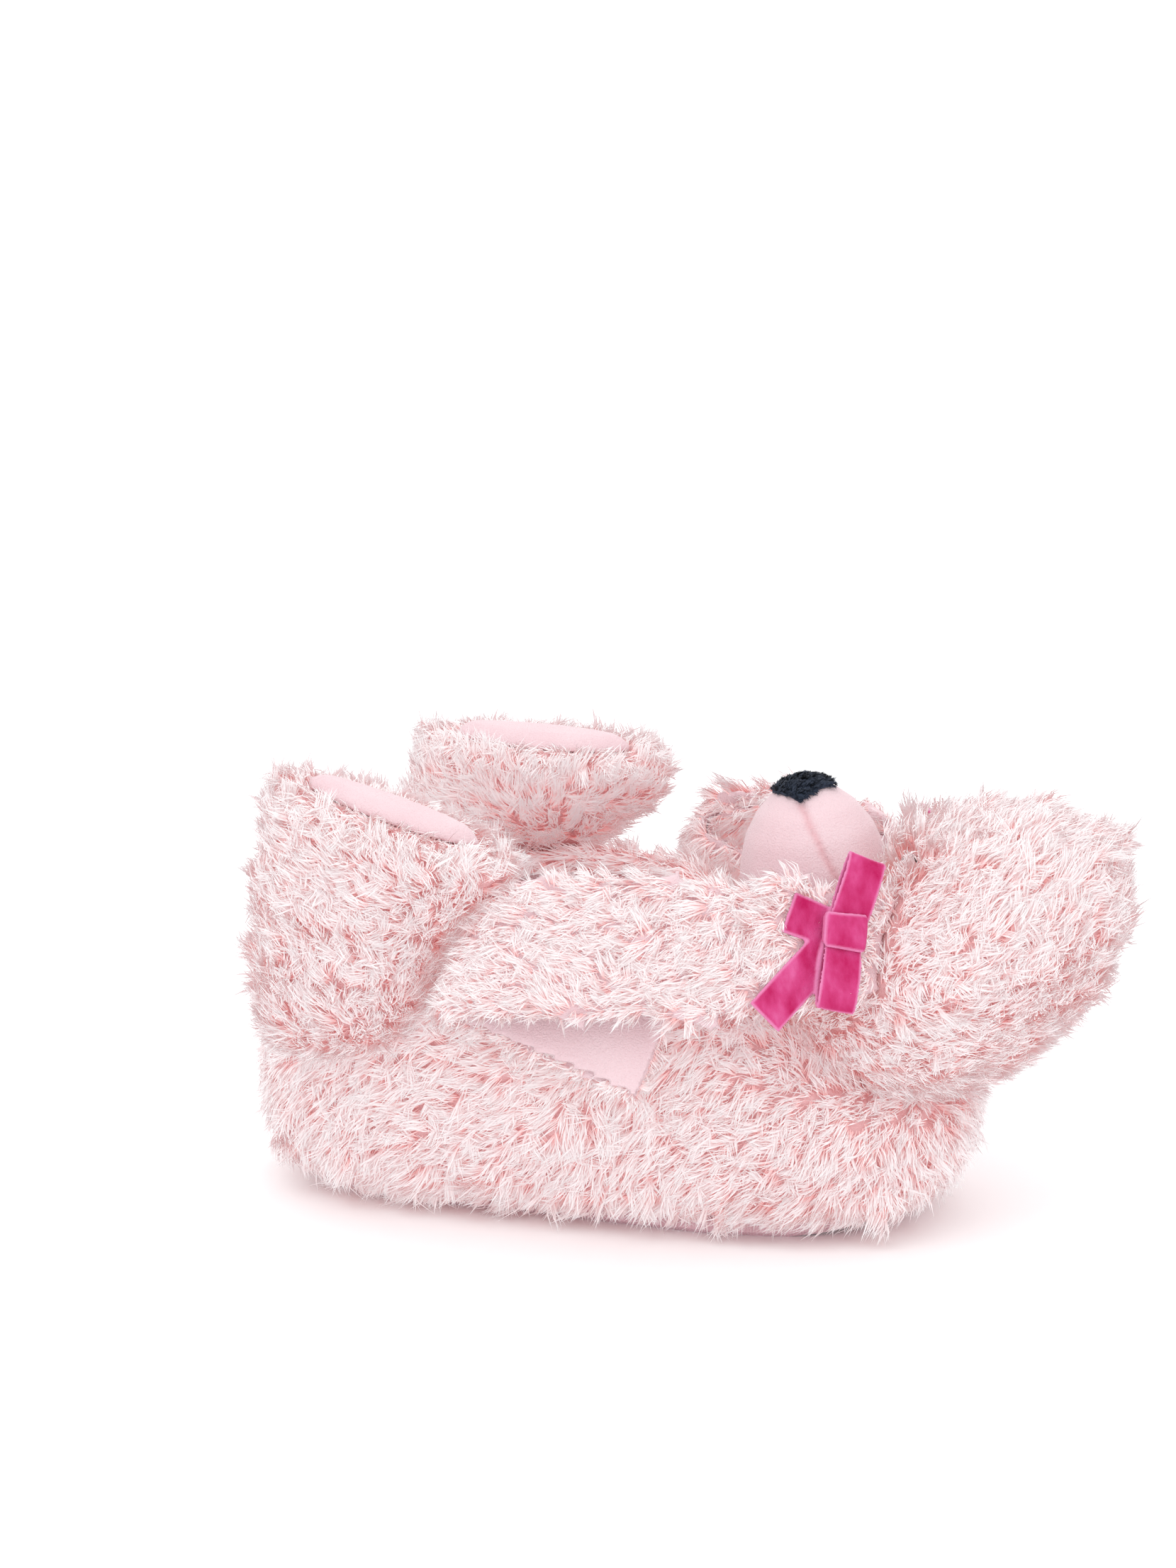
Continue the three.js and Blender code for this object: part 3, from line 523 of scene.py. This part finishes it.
def comb(name, skin, count, nap, keep, neighbours, ribbons=None, length=0.0092, lift=0.0038, width=0.00055,
         tuft=0.0036, pull=0.45, turn=0.8, growth=None, arch=None, stray=0.22, seed=1,
         material=None):
    """Hairs on a skin, in tufts that lie along the nap and stop at the neighbours. Of those that would cross
    a ribbon, most are shortened, and a stray few are left."""
    rng = np.random.default_rng(seed)
    roots, normals = roots_on(skin, count, rng)
    kept = keep(roots, normals)
    kept[kept] = ~sunk(roots[kept], neighbours, ROOT_GAP, 8 * MM)
    roots, normals = roots[kept], normals[kept]

    spacing = max(2, int(tuft ** 2 * count / area_of(skin)))
    centres = np.arange(0, len(roots), spacing)
    finder = KDTree(len(centres))
    for i, centre in enumerate(centres):
        finder.insert(Vector(roots[centre]), i)
    finder.balance()
    own = np.array([finder.find(Vector(root))[1] for root in roots])

    axis = normals[centres]
    flow = along_skin(nap(roots[centres], axis), axis)
    angle = swirl(roots[centres], turn, 0.02) + rng.normal(0, 0.6, len(centres))
    flow = flow * np.cos(angle)[:, None] + np.cross(axis, flow) * np.sin(angle)[:, None]
    grown = np.ones(len(centres)) if growth is None else growth(roots[centres])
    reach = length * grown * rng.uniform(0.6, 1.3, len(centres))
    steep = np.ones(len(centres)) if arch is None else arch(roots[centres])
    rise = lift * grown * steep * rng.uniform(0.3, 1.8, len(centres))
    tuft_tips = roots[centres] + flow * reach[:, None] + axis * rise[:, None]

    apart = roots - roots[centres][own]
    scatter = rng.normal(0, 1, (len(roots), 3)) * length * 0.19
    tips = roots + (tuft_tips - roots[centres])[own] - apart * pull + scatter
    bend = lift * (grown * steep)[own] * rng.uniform(0.3, 1.3, len(roots))
    knees = roots * 0.55 + tips * 0.45 + normals * bend[:, None]
    for part in (tips, knees):
        part[:, 2] = np.maximum(part[:, 2], FLOOR_GAP)
    share = np.minimum(free_share(roots + normals * 0.2 * MM, knees, neighbours),
                       free_share(roots + normals * 0.2 * MM, tips, neighbours))
    share = np.where(share < 1, share * 0.95, 1)
    if ribbons is not None:
        share = np.where(over(roots + normals * RIBBON_NEAR, normals, ribbons), share * 0.3, share)
    tips, knees = roots + (tips - roots) * share[:, None], roots + (knees - roots) * share[:, None]
    if ribbons is not None:
        met = np.arange(len(roots))
        for _ in range(3):
            met = met[over(tips[met], normals[met], ribbons)]
            met = met[rng.random(len(met)) > stray]
            for part in (tips, knees):
                part[met] = roots[met] * 0.4 + part[met] * 0.6
    clear = np.linalg.norm(tips - roots, axis=1) > SHORTEST
    roots, normals, tips, knees, own = (part[clear] for part in (roots, normals, tips, knees, own))
    shades = np.clip(rng.random(len(centres))[own] * 0.4 + rng.random(len(roots)) * 0.8, 0, 1)
    piece = hair_mesh(name, roots - normals * ROOT_DEPTH, knees, tips, normals, width, shades, rng,
                      material or PILE)
    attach(piece, "root")
    print(name, "hairs:", len(roots), "triangles:", len(roots) * HAIR_TRIANGLES)
    return piece


def hair_mesh(name, roots, knees, tips, normals, width, shades, rng, material):
    """Leaves with a square foot, a bend in the middle and a pointed end."""
    many = len(roots)
    middles = roots * 0.25 + knees * 0.5 + tips * 0.25
    ahead = unit(tips - roots)
    side = unit(np.cross(ahead, normals))
    up = np.cross(side, ahead)
    roll = rng.uniform(-0.9, 0.9, many)[:, None]
    side = side * np.cos(roll) + up * np.sin(roll)
    half = (width * rng.uniform(0.35, 0.65, many))[:, None]
    corners = [roots - side * half * 0.8, roots + side * half * 0.8,
               middles - side * half, middles + side * half, tips]
    points = np.stack(corners, axis=1).reshape(-1, 3)
    loops = (np.arange(many) * 5)[:, None] + [0, 1, 3, 2, 2, 3, 4]
    starts = (np.arange(many) * 7)[:, None] + [0, 4]
    mesh = bpy.data.meshes.new(name)
    mesh.vertices.add(len(points))
    mesh.vertices.foreach_set("co", points.reshape(-1).astype(np.float32))
    mesh.loops.add(loops.size)
    mesh.loops.foreach_set("vertex_index", loops.reshape(-1).astype(np.int32))
    mesh.polygons.add(many * 2)
    mesh.polygons.foreach_set("loop_start", starts.reshape(-1).astype(np.int32))
    mesh.update(calc_edges=True)
    reach = np.tile([0, 0, 0.5, 0.5, 1.0], many)
    for attribute, values in (("reach", reach), ("shade", np.repeat(shades, 5))):
        made = mesh.attributes.new(attribute, "FLOAT", "POINT")
        made.data.foreach_set("value", values.astype(np.float32))
    piece = new_piece(name, mesh, material)
    soft = unit(np.repeat(normals * SKIN_SHARE + unit(up) * (1 - SKIN_SHARE), 5, axis=0))
    mesh.normals_split_custom_set_from_vertices(soft)
    return piece


# %% Neighbours that hairs stop at, and roots that are kept
LOOK = 0.16  # how far a ray looks for another wall of the bootie
FOOTBED_HEIGHT = 0.04  # below this, whatever faces up is the inside
SOLE_HEIGHT = 0.012


def joined_tree(*names):
    """One search tree of several nodes."""
    points, corners, offset = [], [], 0
    for name in names:
        spots, _, triangles = arrays_of(nodes[name].data)
        points += spots.tolist()
        corners += (triangles + offset).tolist()
        offset += len(spots)
    return BVHTree.FromPolygons(points, corners)


def outer_bootie(points, normals):
    """Keeps the roots from which a ray leaves the bootie for good, but none on the sole."""
    trees = (tree_of(skins["upper"].data), joined_tree("insole"))
    away = np.ones(len(points), dtype=bool)
    for i, (point, normal) in enumerate(zip(points, normals)):
        start = Vector(point + normal * 2 * MM)
        away[i] = all(tree.ray_cast(start, Vector(normal), LOOK)[0] is None for tree in trees)
    inside_floor = (normals[:, 2] > 0.4) & (points[:, 2] < FOOTBED_HEIGHT)
    under = (normals[:, 2] < -0.9) & (points[:, 2] < SOLE_HEIGHT)
    return away & ~inside_floor & ~under


# %% Line the bootie
bootie = skins["upper"].data
bootie.materials.append(FLEECE)
middles = np.empty(len(bootie.polygons) * 3)
bootie.polygons.foreach_get("center", middles)
facing = np.empty(len(bootie.polygons) * 3)
bootie.polygons.foreach_get("normal", facing)
inner = ~outer_bootie(middles.reshape(-1, 3), facing.reshape(-1, 3))
bootie.polygons.foreach_set("material_index", inner.astype(np.int32))
print("faces of the lining:", int(inner.sum()))

# %% Halves and parts of a form


def front_half(points, normals):
    return outer_bootie(points, normals) & (points[:, 0] > 0.0)


def back_half(points, normals):
    return outer_bootie(points, normals) & (points[:, 0] <= 0.0)


def everywhere(points, normals):
    return np.ones(len(points), dtype=bool)


def changing_near(*names, within=12 * MM, least=0.35):
    """A factor that goes from 1 to this one towards the nodes, such as for pile that is clipped short."""
    tree = joined_tree(*names)

    def growth(points):
        grown = np.ones(len(points))
        for i, point in enumerate(points):
            distance = tree.find_nearest(Vector(point), within)[3]
            if distance is not None:
                grown[i] = least + (1 - least) * distance / within
        return grown

    return growth


# %% [markdown]
# ### Which way the pile lies
# On the bootie it lies back towards the heel and down to the floor. On the head it runs from the face to
# the crown, on the ears back from the root, and on the legs up to the foot.

# %% Comb the pile


def steady(x, y, z):
    return lambda points, normals: np.tile([x, y, z], (len(points), 1)).astype(float)


def bootie_nap(points, normals):
    """Back along the bootie, and down to the floor at its hem."""
    low = np.clip(1 - points[:, 2] / (38 * MM), 0, 1)
    return np.stack([-0.8 + 0.5 * low, 0 * low, -0.45 - 2.4 * low], axis=1)


def hem_growth(points):
    """Longer hairs at the hem, which reach the floor."""
    return 1 + 0.7 * np.clip(1 - points[:, 2] / (24 * MM), 0, 1)


def leg_nap(side):
    """Up the leg, and outwards over the flat end."""
    middle = np.mean([list(corner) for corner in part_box(f"leg_{side}")], axis=0)

    def nap(points, normals):
        up = np.tile([0.0, 0.0, 0.6], (len(points), 1))
        out = unit((points - middle) * [1, 1, 0])
        return np.where(normals[:, 2:] > 0.6, out, up + out * 0.2)

    return nap


LININGS = [f"ear_lining_{side}" for side in SIDES]
EARS = [f"ear_{side}" for side in SIDES]
LEGS = [f"leg_{side}" for side in SIDES]
bows = joined_tree(*(f"{piece}_{side}" for side in SIDES for piece in ("bow", "knot")))
trims = [f"{piece}_{side}" for side in SIDES for piece in ("bow", "knot", "ear_lining")]
beside_upper = joined_tree("head", "muzzle", "outsole", *EARS, *LININGS, *LEGS)
for name, half, seed in (("toe_pile", front_half, 11), ("heel_pile", back_half, 12)):
    comb(name, skins["upper"], 152000, bootie_nap, half, beside_upper, joined_tree(*trims),
         growth=hem_growth, seed=seed)
comb("head_pile", skins["head"], 61000, steady(0.8, 0, 0.6), everywhere,
     joined_tree("upper", "muzzle", "eye_right", "eye_left", *EARS, *LININGS), bows,
     growth=changing_near("muzzle"), arch=changing_near("eye_right", "eye_left", within=10 * MM, least=3.4),
     seed=13)
for number, side in enumerate(SIDES):
    comb(f"ear_pile_{side}", skins[f"ear_{side}"], 44000, steady(-1, 0, -0.25), everywhere,
         joined_tree(f"ear_lining_{side}", "upper", "head", "muzzle", f"leg_{side}"), bows,
         growth=changing_near(f"ear_lining_{side}", within=8 * MM), seed=21 + number)
    comb(f"leg_pile_{side}", skins[f"leg_{side}"], 37000, leg_nap(side), everywhere,
         joined_tree("upper", f"foot_pad_{side}", f"ear_{side}"),
         growth=changing_near(f"foot_pad_{side}", within=12 * MM, least=0.42), seed=31 + number)


def bared_side(points, normals):
    """The side of the left ear that faces the collar, which is shaggy too in the photograph."""
    return (normals[:, 1] < -0.3) & (points[:, 0] < 0.075)


comb("ear_front_pile_left", skins["lining_left"], 24000, steady(-1, 0, 0.3), bared_side,
     joined_tree("ear_left", "upper", "head", "muzzle", "leg_left", "bow_left", "knot_left"), length=0.008,
     seed=41)

# %% Brush the nose
comb("nose_nap", skins["nose"], 9000, steady(1, 0, 0.2), lambda points, normals: normals[:, 2] > 0,
     joined_tree("head"), length=0.0022, lift=0.0009, width=0.0004, tuft=0.0015, turn=0.4, material=NOSE,
     seed=52)

# %% [markdown]
# ## Ribbon, eyes and sole
# The ribbon gets an even net, so that its folds are round, and a lighter woven selvedge. The eyes and the
# sole keep the forms of the model and get a finish of their own.

# %% Lay the ribbon
SHARP = math.radians(60)
EDGE_STEP = 0.4 * MM
EDGE_REACH = 1.35 * MM
EDGE_FADE = 0.8 * MM
SLACK = 0.9 * MM


def with_selvedge(piece, node):
    """Marks the woven edges of a ribbon, which are the sharp ridges of its solid."""
    solid = bmesh.new()
    solid.from_mesh(nodes[node].data)
    bmesh.ops.remove_doubles(solid, verts=solid.verts, dist=0.001 * MM)
    spots = []
    for ridge in solid.edges:
        if ridge.is_convex and ridge.calc_face_angle(0.0) > SHARP:
            first, last = (corner.co.copy() for corner in ridge.verts)
            steps = max(1, int((last - first).length / EDGE_STEP))
            spots += [first.lerp(last, i / steps) for i in range(steps + 1)]
    solid.free()
    finder = KDTree(len(spots))
    for i, spot in enumerate(spots):
        finder.insert(spot, i)
    finder.balance()
    points, _, _ = arrays_of(piece.data)
    away = np.array([finder.find(Vector(point))[2] for point in points])
    marks = np.clip((EDGE_REACH - away) / EDGE_FADE, 0, 1).astype(np.float32)
    piece.data.attributes.new("selvedge", "FLOAT", "POINT").data.foreach_set("value", marks)
    print(piece.name, "selvedge points:", int((marks > 0.5).sum()), "of", len(points))


def slacken(piece):
    """Slow waves in the ribbon, the same in bow and knot, so that they stay together."""
    points, _, _ = arrays_of(piece.data)
    across = points[:, 0] / (24 * MM) + points[:, 2] / (31 * MM)
    points[:, 1] += SLACK * np.sin(2 * math.pi * across)
    piece.data.vertices.foreach_set("co", points.reshape(-1).astype(np.float32))
    piece.data.update()


for side in SIDES:
    for part in ("bow", "knot"):
        ribbon = soft_skin(f"ribbon_{part}_{side}", f"{part}_{side}", RIBBON, 0.65 * MM, 5,
                           0.6)
        with_selvedge(ribbon, f"{part}_{side}")
        slacken(ribbon)

# %% Finish the remaining pieces


def refinish(node, material):
    nodes[node].data.materials.clear()
    nodes[node].data.materials.append(material)


for side in SIDES:
    refinish(f"eye_{side}", BEAD)
refinish("outsole", SOLE_CLOTH)
refinish("insole", FOOTBED)

# %% [markdown]
# ## Floor, light and camera
# A white studio floor with one large soft lamp above and a fill from the front. The camera stands where
# the photograph was taken from: 12 degrees round towards the heel, 19 degrees above the floor, with a
# long lens.

# %% Lay the floor


def studio_floor():
    finish = Finish("studio_floor", Roughness=0.9, Specular_IOR_Level=0.0)
    finish.colour(finish.mix(finish.noise(2.0), (0.96, 0.96, 0.97), (0.98, 0.98, 0.98)))
    half = 4.0
    corners = [(-half, -half, 0), (half, -half, 0), (half, half, 0), (-half, half, 0)]
    mesh = bpy.data.meshes.new("studio_floor")
    mesh.from_pydata(corners, [], [(0, 1, 2, 3)])
    floor = new_piece("studio_floor", mesh, finish.material)


studio_floor()

# %% Light it


def lamp(name, place, aim, size, power, colour=(1, 1, 1)):
    light = bpy.data.lights.new(name, "AREA")
    light.size = size
    light.energy = power
    light.color = colour
    holder = bpy.data.objects.new(name, light)
    holder.location = place
    holder.rotation_euler = (Vector(aim) - Vector(place)).to_track_quat("-Z", "Y").to_euler()
    bpy.context.scene.collection.objects.link(holder)


MIDDLE = (0.03, 0, 0.08)
SKY_STRENGTH = 1.14
lamp("key_lamp", (-0.5, -0.9, 1.7), MIDDLE, 1.4, 7.5)
lamp("fill_lamp", (1.3, -1.4, 0.8), MIDDLE, 1.6, 4.5)
lamp("back_lamp", (0.2, 1.6, 1.2), MIDDLE, 1.4, 4.5)

world = bpy.data.worlds.new("studio")
world.use_nodes = True
world.node_tree.nodes["Background"].inputs["Color"].default_value = (1.0, 1.0, 1.0, 1.0)
world.node_tree.nodes["Background"].inputs["Strength"].default_value = SKY_STRENGTH
bpy.context.scene.world = world
bpy.context.scene.view_settings.view_transform = "Standard"

# %% Place the camera
AZIMUTH = math.radians(12)
ELEVATION = math.radians(19)
DISTANCE = 2.5
PICTURE = (1659, 2212)
PIXELS_PER_METRE = 3500
FOCUS = Vector((0, 0, 0.06))
FOCUS_PIXEL = (876.5, 1476.4)
SENSOR = 36.0

right = Vector((math.cos(AZIMUTH), math.sin(AZIMUTH), 0))
ahead = Vector((-math.sin(AZIMUTH) * math.cos(ELEVATION), math.cos(AZIMUTH) * math.cos(ELEVATION),
                -math.sin(ELEVATION)))
above = right.cross(ahead)
eye = FOCUS - ahead * DISTANCE
aim = (FOCUS + right * (PICTURE[0] / 2 - FOCUS_PIXEL[0]) / PIXELS_PER_METRE
       + above * (FOCUS_PIXEL[1] - PICTURE[1] / 2) / PIXELS_PER_METRE)
lens = bpy.data.cameras.new("photo_camera")
lens.sensor_fit = "VERTICAL"
lens.sensor_height = SENSOR
lens.lens = PIXELS_PER_METRE * DISTANCE / PICTURE[1] * SENSOR
camera = bpy.data.objects.new("photo_camera", lens)
camera.location = eye
camera.rotation_euler = (aim - eye).to_track_quat("-Z", "Y").to_euler()
bpy.context.scene.collection.objects.link(camera)
bpy.context.scene.camera = camera
print("lens:", round(lens.lens, 1), "mm")
